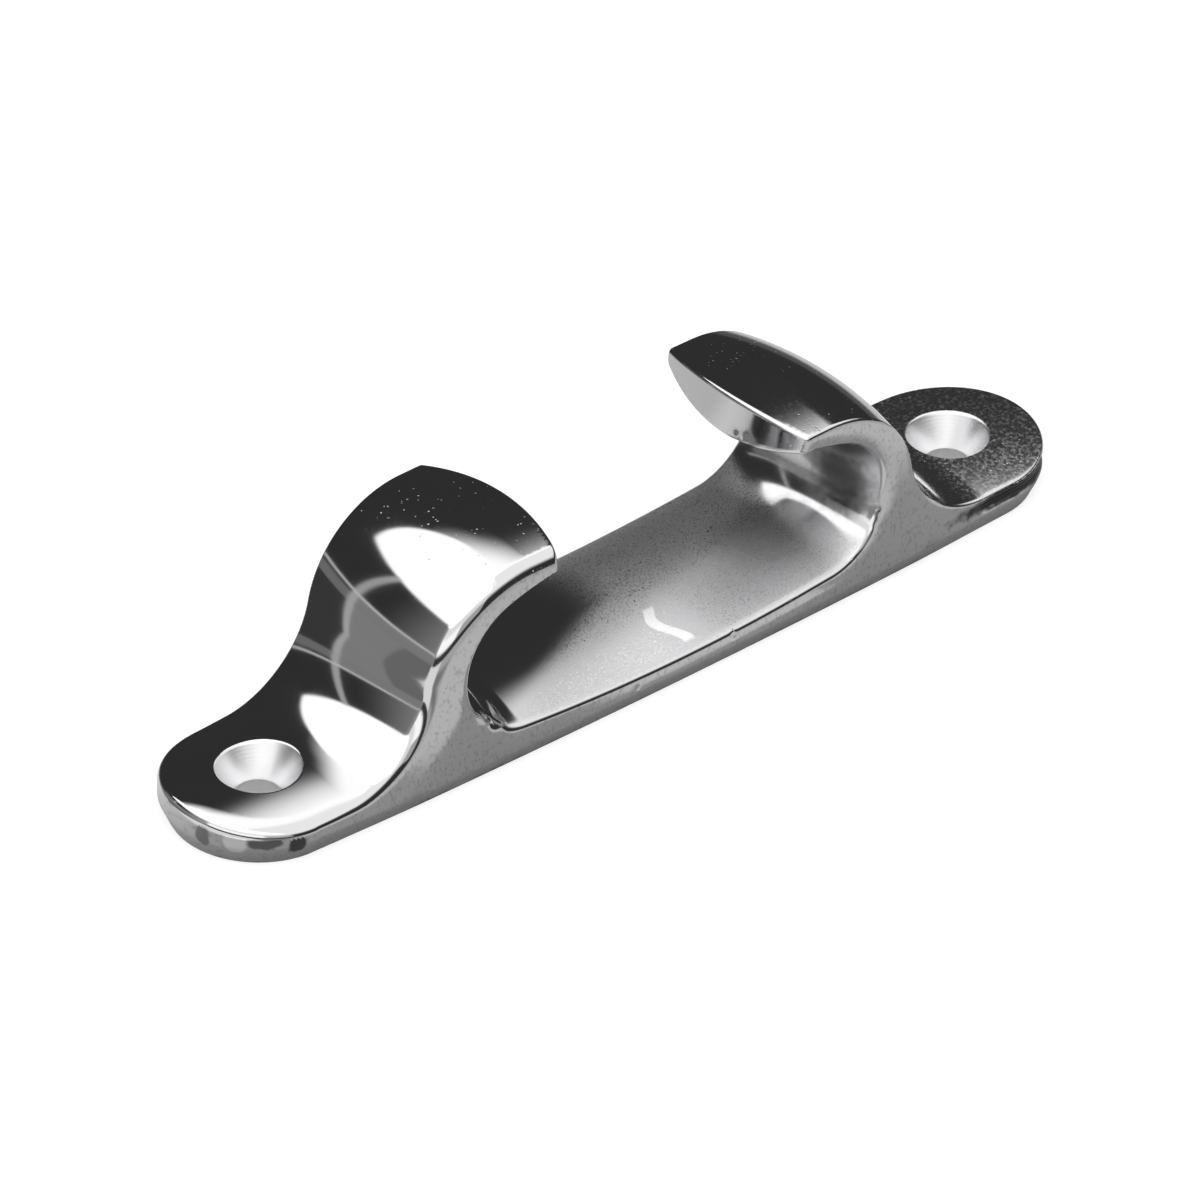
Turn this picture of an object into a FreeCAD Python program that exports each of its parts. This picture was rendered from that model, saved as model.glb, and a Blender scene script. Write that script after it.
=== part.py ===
import FreeCAD, Part
import math
import os

import Sketcher
from FreeCAD import Vector

# Straight deck fairlead, one casting in polished metal, modelled in millimetres.
# X runs along the base, Y across it (the front is -Y) and Z up from the deck.
# The right half is built feature by feature and then mirrored about X = 0.

SIZES = {
    # base and tabs, seen from above
    "base_length": 127.0,
    "end_radius": 11.35,
    "side_belly": 0.9,
    "tab_thickness": 6.15,
    "tuck_rise": 2.1,
    "tuck_inset": 0.95,
    # screw holes, set in from the tab's end
    "hole_inset": 11.25,
    "bore_dia": 5.3,
    "sink_dia": 10.2,
    "sink_depth": 3.95,
    # outer side of the horns, on the centre plane
    "horn_height": 27.3,
    "horn_radius": 15.1,
    "horn_inset": 41.5,
    "foot_radius": 11.2,
    "outer_crown": 54.0,
    # throat that carries the rope, on the centre plane
    "floor_height": 6.3,
    "floor_radius": 280.0,
    "nose_wall": 6.74,
    "corner_shift": 0.5,
    "under_radius": 27.4,
    "under_angle": 70.0,
    "throat_crown": 30.0,
    # tip of the horn, measured from the horn's centre towards the mouth
    "tip_reach": 5.8,
    "tip_radius": 32.5,
    # rounded edges
    "outer_round": 0.6,
    "rim_round": 0.9,
    "tip_round": 0.5,
    "sink_round": 0.35,
    # metal left on the blank for the cuts, and how far a cutter runs past it
    "trim_stock": 2.0,
    "skim_stock": 0.5,
    "cut_overlap": 1.0,
}

# places along the base, as the sheet works them out
HOLE_X = "(sizes.base_length / 2 - sizes.hole_inset)"
HORN_X = "(sizes.base_length / 2 - sizes.horn_inset)"
CORNER_X = "(%s + sizes.corner_shift)" % HORN_X
TIP_X = "(%s - sizes.tip_reach)" % HORN_X
NOSE_X = "(%s - sizes.trim_stock)" % TIP_X

# the throat's corners fill the height that the floor and the nose of the horn leave between them
CORNER_RADIUS = (
    "((sizes.horn_height - sizes.nose_wall - sizes.floor_height"
    " - sizes.under_radius * (1 - sin(sizes.under_angle))) / (1 + sin(sizes.under_angle)))"
)

NODE = "fairlead"
QUARTER = math.pi / 2
CLOSE = 0.03


def make_sheet(doc):
    """Spreadsheet that holds every driving size under its own alias."""
    sheet = doc.addObject("Spreadsheet::Sheet", "sizes")
    for row, (alias, value) in enumerate(SIZES.items(), start=1):
        sheet.set("A%d" % row, alias)
        sheet.set("B%d" % row, str(value))
        sheet.setAlias("B%d" % row, alias)
    doc.recompute()
    return sheet


def line(start, end):
    return Part.LineSegment(Vector(*start, 0), Vector(*end, 0))


def arc(centre, radius, start, end):
    """Arc about centre, counter-clockwise from angle start to angle end, in radians."""
    circle = Part.Circle(Vector(*centre, 0), Vector(0, 0, 1), radius)
    return Part.ArcOfCircle(circle, start, end)


def angle_to(centre, point):
    return math.atan2(point[1] - centre[1], point[0] - centre[0])


def end_point(piece, which):
    point = piece.StartPoint if which == 1 else piece.EndPoint
    return (point.x, point.y)


def end_direction(piece, which):
    tangent = piece.tangent(piece.FirstParameter if which == 1 else piece.LastParameter)[0]
    return (tangent.x, tangent.y)


class Form:
    """Places worked out from the driving sizes, all on the centre plane."""

    def __init__(self, sheet):
        for alias in SIZES:
            setattr(self, alias, float(sheet.get(alias)))
        self.half_length = self.base_length / 2
        self.half_width = self.end_radius + self.side_belly
        self.cut_y = self.half_width + self.trim_stock
        self.end_x = self.half_length - self.end_radius
        self.hole_x = self.half_length - self.hole_inset
        self.horn_x = self.half_length - self.horn_inset
        self.corner_x = self.horn_x + self.corner_shift
        self.tip_x = self.horn_x - self.tip_reach
        self.nose_x = self.tip_x - self.trim_stock
        self.place_sides()
        self.place_outer()
        self.place_throat()

    def place_sides(self):
        """The long sides are shallow arcs that run into the round ends."""
        rise = self.end_x ** 2 + self.half_width ** 2 - self.end_radius ** 2
        self.side_radius = rise / (2 * self.side_belly)

    def place_outer(self):
        self.horn = (self.horn_x, self.horn_height - self.horn_radius)
        foot_z = self.tab_thickness + self.foot_radius
        span = self.horn_radius + self.foot_radius
        self.foot = (self.horn[0] + math.sqrt(span ** 2 - (foot_z - self.horn[1]) ** 2), foot_z)

    def place_throat(self):
        turn = math.radians(self.under_angle)
        room = self.horn_height - self.nose_wall - self.floor_height
        self.corner_radius = (room - self.under_radius * (1 - math.sin(turn))) / (1 + math.sin(turn))
        self.floor = (0.0, self.floor_height + self.floor_radius)
        span = self.floor_radius - self.corner_radius
        corner_z = self.floor[1] - math.sqrt(span ** 2 - self.corner_x ** 2)
        self.corner = (self.corner_x, corner_z)
        back = self.under_radius - self.corner_radius
        self.under = (self.corner[0] - back * math.cos(turn), self.corner[1] - back * math.sin(turn))

    def outer_pieces(self, start_x, end_x, proud=0.0):
        """Outer line of one horn, from the mouth at start_x to the tab's end, set proud of its crest."""
        slope = angle_to(self.horn, self.foot)
        top_z = self.horn_height + proud
        tab_z = self.tab_thickness + proud
        return [
            line((start_x, top_z), (self.horn[0], top_z)),
            arc(self.horn, self.horn_radius + proud, slope, QUARTER),
            arc(self.foot, self.foot_radius - proud, slope + math.pi, 3 * QUARTER),
            line((self.foot[0], tab_z), (end_x, tab_z)),
        ]

    def throat_pieces(self, end_x, proud=0.0):
        """Throat line, from mid floor round to the underside of the tip, set proud of its crest."""
        meet = angle_to(self.floor, self.corner)
        turn = math.radians(self.under_angle)
        under_radius = self.under_radius - proud
        finish = math.acos((end_x - self.under[0]) / under_radius)
        return [
            arc(self.floor, self.floor_radius - proud, -QUARTER, meet),
            arc(self.corner, self.corner_radius - proud, meet, turn),
            arc(self.under, under_radius, turn, finish),
        ]

    def between_throat_and_horn(self):
        return (self.corner_radius + self.horn_radius) / 2

    def between_floor_and_horn(self):
        return (self.floor_height + self.horn_height) / 2

    def throat_distance(self, point):
        """Distance in the side view from the throat's own centre line."""
        past = max(point.x - self.corner[0], 0.0)
        return math.hypot(past, point.z - self.corner[1])

    def on_wall(self, point):
        """True where a point lies on the trimmed wall, seen from above."""
        side_y = math.sqrt(self.side_radius ** 2 - point.x ** 2) - self.side_radius + self.half_width
        past_side = abs(side_y - abs(point.y))
        past_end = abs(math.hypot(point.x - self.end_x, point.y) - self.end_radius)
        return past_side < CLOSE or (point.x > self.end_x - self.cut_overlap and past_end < CLOSE)

    def at_tip(self, point):
        """True where a point lies on the face that looks across the mouth."""
        tip_x = self.tip_x + self.tip_radius - math.sqrt(self.tip_radius ** 2 - point.y ** 2)
        return abs(point.x - tip_x) < CLOSE and point.z > self.between_floor_and_horn()

    def outer_edge(self, point):
        """True on the edge between the wall and the outer faces."""
        clear = self.on_wall(point) and not self.at_tip(point)
        high = point.z > self.tab_thickness / 2 and point.x > self.cut_overlap
        return clear and high and self.throat_distance(point) > self.between_throat_and_horn()

    def rim_edge(self, point):
        """True on the edge between the wall and the throat."""
        clear = self.on_wall(point) and not self.at_tip(point)
        return clear and point.z > CLOSE and self.throat_distance(point) < self.between_throat_and_horn()

    def deck_edge(self, point):
        """True on the edge between the wall and the flat underside."""
        return self.on_wall(point) and abs(point.z) < CLOSE

    def sink_edge(self, point):
        """True on the rim of the countersink."""
        slope = (self.sink_dia - self.bore_dia) / (2 * self.sink_depth)
        cone = self.sink_dia / 2 + slope * (point.z - self.tab_thickness)
        on_cone = abs(math.hypot(point.x - self.hole_x, point.y) - cone) < CLOSE
        return on_cone and point.z > self.tab_thickness - self.sink_depth / 4


def origin_plane(body, role):
    return next(feature for feature in body.Origin.OriginFeatures if feature.Role == role)


def new_sketch(body, name, role, lift=None, shift=None):
    """Sketch on one of the body's own origin planes, lifted off it or shifted along it by expressions."""
    sketch = body.newObject("Sketcher::SketchObject", name)
    sketch.AttachmentSupport = [(origin_plane(body, role), "")]
    sketch.MapMode = "FlatFace"
    if lift:
        sketch.setExpression("AttachmentOffset.Base.z", lift)
    if shift:
        sketch.setExpression("AttachmentOffset.Base.x", shift)
    return sketch


def nearest_ends(first, second):
    pairs = [(a, b) for a in (1, 2) for b in (1, 2)]
    return min(pairs, key=lambda ends: math.dist(end_point(first, ends[0]), end_point(second, ends[1])))


def joint_kind(first, second, ends):
    """Tangent where two pieces run into each other smoothly with an arc between them."""
    a = end_direction(first, ends[0])
    b = end_direction(second, ends[1])
    smooth = abs(a[0] * b[1] - a[1] * b[0]) < 1e-6
    return "Tangent" if smooth else "Coincident"


def add_chain(sketch, pieces, closed=True):
    """Add pieces end to end and tie each one to the next."""
    for piece in pieces:
        sketch.addGeometry(piece, False)
    pairs = list(zip(range(len(pieces)), range(1, len(pieces))))
    if closed:
        pairs.append((len(pieces) - 1, 0))
    for one, other in pairs:
        ends = nearest_ends(pieces[one], pieces[other])
        kind = joint_kind(pieces[one], pieces[other], ends)
        sketch.addConstraint(Sketcher.Constraint(kind, one, ends[0], other, ends[1]))


def bind(sketch, name, expression, *constraint):
    """Add a named dimension and drive it from the sheet."""
    index = sketch.addConstraint(Sketcher.Constraint(*constraint))
    sketch.renameConstraint(index, name)
    sketch.setExpression("Constraints." + name, expression)


def bind_radii(sketch, form, radii, skim=0):
    """Drive radii from the sheet, each made larger or smaller by the skim stock where skim is 1 or -1."""
    for piece, alias in radii.items():
        value = getattr(form, alias) + skim * form.skim_stock
        source = CORNER_RADIUS if alias == "corner_radius" else "sizes." + alias
        bind(sketch, alias, "%s + %d * sizes.skim_stock" % (source, skim), "Radius", piece, value)


def side_profile(body, form):
    """Side view of the right half: base, tab, horn and the open throat."""
    sketch = new_sketch(body, "side_profile", "XZ_Plane")
    skim = form.skim_stock
    throat = form.throat_pieces(form.nose_x, skim)
    outer = form.outer_pieces(form.nose_x, form.half_length, skim)
    pieces = throat + [
        line(end_point(throat[2], 2), end_point(outer[0], 1)),
        *outer,
        line(end_point(outer[3], 2), (form.half_length, 0)),
        line((form.half_length, 0), (0, 0)),
        line((0, 0), end_point(throat[0], 1)),
    ]
    add_chain(sketch, pieces)
    floor, corner, under, nose, top, shoulder, foot, tab, end, base, middle = range(len(pieces))
    for piece in (nose, end, middle):
        sketch.addConstraint(Sketcher.Constraint("Vertical", piece))
    for piece in (base, tab):
        sketch.addConstraint(Sketcher.Constraint("Horizontal", piece))
    sketch.addConstraint(Sketcher.Constraint("Coincident", base, 2, -1, 1))
    bind_radii(sketch, form, {shoulder: "horn_radius"}, 1)
    bind_radii(sketch, form, {floor: "floor_radius", corner: "corner_radius", under: "under_radius",
                              foot: "foot_radius"}, -1)
    bind(sketch, "half_length", "sizes.base_length / 2", "DistanceX", base, 2, base, 1, form.half_length)
    for name, first, first_end, piece, piece_end in (("floor_height", middle, 1, middle, 2),
                                                     ("horn_height", -1, 1, top, 1),
                                                     ("tab_thickness", -1, 1, tab, 1)):
        value = getattr(form, name) + skim
        rule = "sizes.%s + sizes.skim_stock" % name
        bind(sketch, name, rule, "DistanceY", first, first_end, piece, piece_end, value)
    bind(sketch, "horn_centre", HORN_X, "DistanceX", -1, 1, shoulder, 3, form.horn_x)
    bind(sketch, "corner_centre", CORNER_X, "DistanceX", -1, 1, corner, 3, form.corner_x)
    bind(sketch, "nose", NOSE_X, "DistanceX", -1, 1, nose, 1, form.nose_x)
    return sketch


def path_sketch(body, name, pieces):
    sketch = new_sketch(body, name, "XZ_Plane")
    add_chain(sketch, pieces, closed=False)
    return sketch


def crown_section(body, form, name, lift, apex, apex_rule, radius_name):
    """Thin cutter section across the width: a convex arc below, a flat top above its crest."""
    radius = getattr(form, radius_name)
    swing = math.asin(form.cut_y / radius)
    centre = (0, apex - radius)
    bow = arc(centre, radius, QUARTER - swing, QUARTER + swing)
    right, left = end_point(bow, 1), end_point(bow, 2)
    roof = apex + form.cut_overlap
    pieces = [bow, line(left, (left[0], roof)), line((left[0], roof), (right[0], roof)), line((right[0], roof), right)]
    sketch = new_sketch(body, name, "YZ_Plane", lift)
    add_chain(sketch, pieces)
    for piece, kind in ((1, "Vertical"), (2, "Horizontal"), (3, "Vertical")):
        sketch.addConstraint(Sketcher.Constraint(kind, piece))
    sketch.addConstraint(Sketcher.Constraint("PointOnObject", 0, 3, -2))
    bind_radii(sketch, form, {0: radius_name})
    bind(sketch, "roof", apex_rule + " + sizes.cut_overlap", "DistanceY", -1, 1, 2, 1, roof)
    bind(sketch, "crest", apex_rule + " - sizes." + radius_name, "DistanceY", -1, 1, 0, 3, centre[1])
    bind(sketch, "reach", "sizes.end_radius + sizes.side_belly + sizes.trim_stock",
         "DistanceX", -1, 1, 3, 1, form.cut_y)
    return sketch


def crown_cut(doc, body, name, section, path):
    """Sweep a crown section along its path and take that metal away."""
    doc.recompute()
    before = body.Shape.Volume
    cut = body.newObject("PartDesign::SubtractivePipe", name)
    cut.Profile = (section, [""])
    cut.Spine = (path, ["Edge%d" % number for number in range(1, len(path.Shape.Edges) + 1)])
    doc.recompute()
    check_cut(name, before, body.Shape.Volume)
    return cut


def check_cut(name, before, after):
    """A cut that points away from the metal shows no error, so its volume is compared."""
    if not 0 < after < before - 1:
        raise RuntimeError("%s cut nothing: %.1f to %.1f" % (name, before, after))


def pocket_up(doc, body, name, sketch):
    """Cut upwards from a sketch through all of the metal above it."""
    doc.recompute()
    before = body.Shape.Volume
    pocket = body.newObject("PartDesign::Pocket", name)
    pocket.Profile = sketch
    pocket.Type = "ThroughAll"
    pocket.Reversed = True
    doc.recompute()
    check_cut(name, before, body.Shape.Volume)
    return pocket


def pad_profile(doc, body, form):
    pad = body.newObject("PartDesign::Pad", "casting_blank")
    pad.Profile = side_profile(body, form)
    pad.SideType = "Symmetric"
    pad.setExpression("Length", "2 * (sizes.end_radius + sizes.side_belly)")
    doc.recompute()
    return pad


def crown_outside(doc, body, form):
    """Outer faces bow across the width, from the tab over the horn to its tip."""
    start = form.nose_x - form.cut_overlap
    rule = NOSE_X + " - sizes.cut_overlap"
    section = crown_section(body, form, "outer_section", rule, form.horn_height, "sizes.horn_height", "outer_crown")
    path = path_sketch(body, "outer_path", form.outer_pieces(start, form.half_length + form.cut_overlap))
    return crown_cut(doc, body, "outer_crown_cut", section, path)


def crown_throat(doc, body, form):
    """The rope's bearing face bows across the width all the way round the throat."""
    section = crown_section(body, form, "throat_section", None, form.floor_height, "sizes.floor_height", "throat_crown")
    path = path_sketch(body, "throat_path", form.throat_pieces(form.nose_x - form.cut_overlap))
    return crown_cut(doc, body, "throat_crown_cut", section, path)


def trim_tip(doc, body, form):
    """Trim the tip so that it bows towards the mouth when seen from above."""
    centre = (form.tip_x + form.tip_radius, 0)
    swing = math.asin(form.cut_y / form.tip_radius)
    bow = arc(centre, form.tip_radius, math.pi - swing, math.pi + swing)
    upper, lower = end_point(bow, 1), end_point(bow, 2)
    back_x = -form.cut_overlap
    pieces = [bow, line(lower, (back_x, lower[1])), line((back_x, lower[1]), (back_x, upper[1])),
              line((back_x, upper[1]), upper)]
    sketch = new_sketch(body, "mouth_plan", "XY_Plane", "(sizes.floor_height + sizes.horn_height) / 2")
    add_chain(sketch, pieces)
    for piece, kind in ((1, "Horizontal"), (2, "Vertical"), (3, "Horizontal")):
        sketch.addConstraint(Sketcher.Constraint(kind, piece))
    sketch.addConstraint(Sketcher.Constraint("PointOnObject", 0, 3, -1))
    bind_radii(sketch, form, {0: "tip_radius"})
    bind(sketch, "centre", TIP_X + " + sizes.tip_radius", "DistanceX", -1, 1, 0, 3, centre[0])
    bind(sketch, "back", "sizes.cut_overlap", "DistanceX", 1, 2, -1, 1, form.cut_overlap)
    bind(sketch, "reach", "sizes.end_radius + sizes.side_belly + sizes.trim_stock",
         "DistanceY", -1, 1, 3, 1, form.cut_y)
    return pocket_up(doc, body, "mouth_cut", sketch)


def trim_plan(doc, body, form):
    """Cut the blank to its outline from above: shallow side arcs and a round end."""
    centre_y = form.side_radius - form.half_width
    back = (0, centre_y)
    touch = angle_to((0, -centre_y), (form.end_x, 0))
    rear = arc((0, -centre_y), form.side_radius, touch, QUARTER)
    end = arc((form.end_x, 0), form.end_radius, -touch, touch)
    front = arc(back, form.side_radius, -QUARTER, -touch)
    far_x = form.half_length + form.trim_stock
    pieces = [front, end, rear, line((0, form.half_width), (0, form.cut_y)), line((0, form.cut_y), (far_x, form.cut_y)),
              line((far_x, form.cut_y), (far_x, -form.cut_y)), line((far_x, -form.cut_y), (0, -form.cut_y)),
              line((0, -form.cut_y), (0, -form.half_width))]
    sketch = new_sketch(body, "plan_outline", "XY_Plane")
    add_chain(sketch, pieces)
    for piece, kind in ((3, "Vertical"), (4, "Horizontal"), (5, "Vertical"), (6, "Horizontal"), (7, "Vertical")):
        sketch.addConstraint(Sketcher.Constraint(kind, piece))
    for piece, axis in ((0, -2), (2, -2), (1, -1)):
        sketch.addConstraint(Sketcher.Constraint("PointOnObject", piece, 3, axis))
    sketch.addConstraint(Sketcher.Constraint("PointOnObject", 3, 1, -2))
    bind_radii(sketch, form, {1: "end_radius"})
    bind(sketch, "end_x", "sizes.base_length / 2 - sizes.end_radius", "DistanceX", -1, 1, 1, 3, form.end_x)
    for name, start, finish in (("rear_side", (-1, 1), (3, 1)), ("front_side", (7, 2), (-1, 1))):
        bind(sketch, name, "sizes.end_radius + sizes.side_belly", "DistanceY", *start, *finish, form.half_width)
    return pocket_up(doc, body, "plan_cut", sketch)


def drill_screw_hole(doc, body, form):
    """Countersunk hole through the tab, turned about its own upright axis."""
    bore, sink = form.bore_dia / 2, form.sink_dia / 2
    low, high = -form.cut_overlap, form.tab_thickness + form.cut_overlap
    mouth = sink + form.cut_overlap * (sink - bore) / form.sink_depth
    neck = form.tab_thickness - form.sink_depth
    corners = [(0, low), (bore, low), (bore, neck), (mouth, high), (0, high)]
    pieces = [line(start, end) for start, end in zip(corners, corners[1:] + corners[:1])]
    sketch = new_sketch(body, "screw_hole_section", "XZ_Plane", shift=HOLE_X)
    add_chain(sketch, pieces)
    for piece, kind in ((0, "Horizontal"), (1, "Vertical"), (3, "Horizontal"), (4, "Vertical")):
        sketch.addConstraint(Sketcher.Constraint(kind, piece))
    sketch.addConstraint(Sketcher.Constraint("PointOnObject", 0, 1, -2))
    bind(sketch, "bore", "sizes.bore_dia / 2", "DistanceX", -1, 1, 1, 2, bore)
    bind(sketch, "mouth", "sizes.sink_dia / 2 + sizes.cut_overlap * (sizes.sink_dia - sizes.bore_dia)"
         " / (2 * sizes.sink_depth)", "DistanceX", -1, 1, 2, 2, mouth)
    bind(sketch, "low", "sizes.cut_overlap", "DistanceY", 0, 1, -1, 1, form.cut_overlap)
    bind(sketch, "neck", "sizes.tab_thickness - sizes.sink_depth", "DistanceY", -1, 1, 1, 2, neck)
    bind(sketch, "high", "sizes.tab_thickness + sizes.cut_overlap", "DistanceY", -1, 1, 3, 1, high)
    doc.recompute()
    before = body.Shape.Volume
    hole = body.newObject("PartDesign::Groove", "screw_hole")
    hole.Profile = sketch
    hole.ReferenceAxis = (sketch, ["V_Axis"])
    doc.recompute()
    check_cut("screw_hole", before, body.Shape.Volume)
    return hole


def find_edges(shape, wanted):
    """Names of the edges whose middle point passes a test."""
    names = []
    for number, edge in enumerate(shape.Edges, start=1):
        middle = edge.valueAt((edge.FirstParameter + edge.LastParameter) / 2)
        if wanted(middle):
            names.append("Edge%d" % number)
    if not names:
        raise RuntimeError("no edge passes " + wanted.__name__)
    return names


def round_edges(doc, body, name, alias, wanted):
    """Round every edge that passes a test with one radius from the sheet."""
    base = body.Tip
    fillet = body.newObject("PartDesign::Fillet", name)
    fillet.Base = (base, find_edges(base.Shape, wanted))
    fillet.setExpression("Radius", "sizes." + alias)
    doc.recompute()
    return fillet


def tuck_wall(doc, body, form):
    """The foot of the wall leans in towards the deck, all the way round the outline."""
    base = body.Tip
    tuck = body.newObject("PartDesign::Chamfer", "wall_tuck")
    tuck.Base = (base, find_edges(base.Shape, form.deck_edge))
    tuck.ChamferType = "Two distances"
    tuck.setExpression("Size", "sizes.tuck_rise")
    tuck.setExpression("Size2", "sizes.tuck_inset")
    doc.recompute()
    return tuck


def mirror_half(doc, body):
    mirrored = body.newObject("PartDesign::Mirrored", "left_half")
    mirrored.TransformMode = "Whole shape"
    mirrored.MirrorPlane = (origin_plane(body, "YZ_Plane"), [""])
    body.Tip = mirrored
    doc.recompute()
    return mirrored


def check_features(body):
    """Every feature has to be sound, and the body has to be one valid solid."""
    for feature in body.Group:
        if "Invalid" in feature.State or "Error" in feature.State:
            raise RuntimeError("%s: %s" % (feature.Name, ", ".join(feature.State)))
    shape = body.Shape
    if shape.isNull() or not shape.isValid() or len(shape.Solids) != 1:
        raise RuntimeError("the body is not one valid solid")


def export(body):
    os.makedirs("parts", exist_ok=True)
    body.Shape.exportStep(os.path.join("parts", NODE + ".step"))


def model_half(doc, body, form):
    """The right half, from the plain blank to its rounded edges."""
    pad_profile(doc, body, form)
    crown_throat(doc, body, form)
    crown_outside(doc, body, form)
    trim_tip(doc, body, form)
    trim_plan(doc, body, form)
    drill_screw_hole(doc, body, form)
    round_edges(doc, body, "sink_rim", "sink_round", form.sink_edge)
    round_edges(doc, body, "outer_edges", "outer_round", form.outer_edge)
    round_edges(doc, body, "throat_rim", "rim_round", form.rim_edge)
    round_edges(doc, body, "tip_edges", "tip_round", form.at_tip)
    tuck_wall(doc, body, form)


def build():
    doc = FreeCAD.newDocument("straight_fairlead")
    sheet = make_sheet(doc)
    form = Form(sheet)
    body = doc.addObject("PartDesign::Body", NODE)
    body.Label = NODE
    doc.recompute()
    model_half(doc, body, form)
    mirror_half(doc, body)
    check_features(body)
    export(body)
    return doc, body, form


if __name__ == "__main__":
    build()
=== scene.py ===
"""Looks of the straight fairlead: one polished casting on a plain white studio floor."""

import logging
import math
from dataclasses import dataclass, field
from enum import Enum
from functools import cached_property, reduce
from typing import NamedTuple

import bmesh
import bpy
import numpy as np
from bpy.types import Material, Mesh, Node, NodeOutputs, NodeSocket, NodeTree, Object, World, bpy_prop_collection
from mathutils import Matrix, Vector

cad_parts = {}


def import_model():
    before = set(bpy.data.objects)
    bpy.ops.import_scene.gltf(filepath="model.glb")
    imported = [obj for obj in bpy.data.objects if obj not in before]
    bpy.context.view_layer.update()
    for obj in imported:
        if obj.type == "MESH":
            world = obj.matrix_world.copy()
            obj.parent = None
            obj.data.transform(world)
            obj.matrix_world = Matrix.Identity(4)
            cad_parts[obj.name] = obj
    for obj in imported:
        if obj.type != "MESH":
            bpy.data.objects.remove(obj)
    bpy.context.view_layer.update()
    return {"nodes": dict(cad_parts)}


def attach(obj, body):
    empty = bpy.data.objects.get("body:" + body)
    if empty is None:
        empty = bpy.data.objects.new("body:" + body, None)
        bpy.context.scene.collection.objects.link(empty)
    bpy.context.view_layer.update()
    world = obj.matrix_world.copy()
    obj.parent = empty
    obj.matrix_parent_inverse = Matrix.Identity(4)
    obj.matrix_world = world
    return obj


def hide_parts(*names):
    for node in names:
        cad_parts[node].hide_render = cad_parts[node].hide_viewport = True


LOG = logging.getLogger("fairlead")
NODE = "fairlead"
BODY = "root"
MM = 0.001
TINY = 1e-12
TRIANGLE = 3

Triple = tuple[float, float, float]
Colour = tuple[float, float, float, float]
Array = np.ndarray
Measure = float | Array
Socket = NodeSocket
Value = float | Triple | Colour | Socket


class Zone(Enum):
    """Parts of the skin that are finished differently."""

    POLISHED = 0
    THROAT = 1
    WALL = 2
    SINK = 3


class Step(NamedTuple):
    """A soft step, which is 0 at its start and 1 at its end; the end may be the lower one."""

    start: Value
    end: Value


@dataclass(frozen=True)
class FormSizes:
    """Sizes of the casting in millimetres.

    The first ones, down to tip_radius, are those of the part's source. The others are this one casting's own:
    how its edges were filed by hand, and how its tabs fall and bulge.
    """

    base_length: float = 127.0
    end_radius: float = 11.35
    side_belly: float = 0.9
    tab_thickness: float = 6.15
    tuck_rise: float = 2.1
    tuck_inset: float = 0.95
    hole_inset: float = 11.25
    bore_dia: float = 5.3
    sink_dia: float = 10.2
    sink_depth: float = 3.95
    horn_height: float = 27.3
    horn_radius: float = 15.1
    horn_inset: float = 41.5
    foot_radius: float = 11.2
    outer_crown: float = 54.0
    floor_height: float = 6.3
    floor_radius: float = 280.0
    nose_wall: float = 6.74
    corner_shift: float = 0.5
    under_radius: float = 27.4
    under_angle: float = 70.0
    throat_crown: float = 30.0
    tip_reach: float = 5.8
    tip_radius: float = 32.5
    crown_reach: float = 1.2
    end_core: float = 0.9
    lip_rise: float = 2.5
    lip_inset: float = 1.1
    tab_blend: Step = Step(-15.0, 4.0)
    left_tab_crown: float = 38.0
    right_tab_crown: float = 62.0
    tab_fall_radius: float = 250.0
    pillow_reach: float = 2.4
    pillow_radius: float = 6.5
    pillow_front: Step = Step(-5.0, 3.0)
    right_pillow: float = 0.3
    front: Step = Step(-3.0, 7.0)
    foot_fade: Step = Step(37.5, 53.0)
    outer_round: float = 0.55
    outer_depth: float = 1.1
    left_round: float = 1.5
    left_depth: float = 2.0
    left_sharpness: float = 0.75
    right_sharpness: float = 0.5
    left_facet: float = 3.9
    groove_below: float = 1.6
    groove_width: float = 0.8
    groove_depth: float = 0.45
    groove_start: Step = Step(-4.0, 1.0)
    groove_front: Step = Step(-6.0, 2.0)
    rim_round: float = 1.0
    rim_depth: float = 0.9
    rim_facet: float = 1.5
    right_rim_facet: float = 1.2
    rim_narrows: Step = Step(20.0, 30.0)
    facet_tilt: float = 14.0
    facet_blend: float = 0.12
    tip_round: float = 0.5
    sink_round: float = 0.35


@dataclass(frozen=True)
class Flaw:
    """A small lump of metal, or a dent where the rise is negative, in millimetres."""

    place: Triple
    radius: float
    rise: float


FLAWS = (
    Flaw((-28.9, -11.2, 7.8), 1.0, 0.2),
    Flaw((-26.9, -11.2, 6.1), 1.0, 0.24),
    Flaw((-27.2, -10.2, 6.8), 0.7, 0.16),
    Flaw((-28.0, -10.6, 7.2), 0.55, -0.16),
    Flaw((-26.2, -10.4, 6.2), 0.6, -0.1),
    Flaw((8.3, -12.0, 3.4), 0.35, -0.1),
    Flaw((-6.5, -11.9, 2.6), 0.35, -0.08),
    Flaw((16.4, -2.8, 22.5), 0.9, -0.1),
    Flaw((16.4, -4.3, 22.2), 0.9, -0.12),
    Flaw((30.6, -11.4, 9.2), 0.7, 0.1),
    Flaw((30.9, -11.4, 10.2), 0.7, 0.1),
)


class Spots(NamedTuple):
    """Points folded onto the back right quarter; along, front and left still tell where each one really is."""

    x: Array
    y: Array
    z: Array
    along: Array
    front: Array
    left: Array


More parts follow.
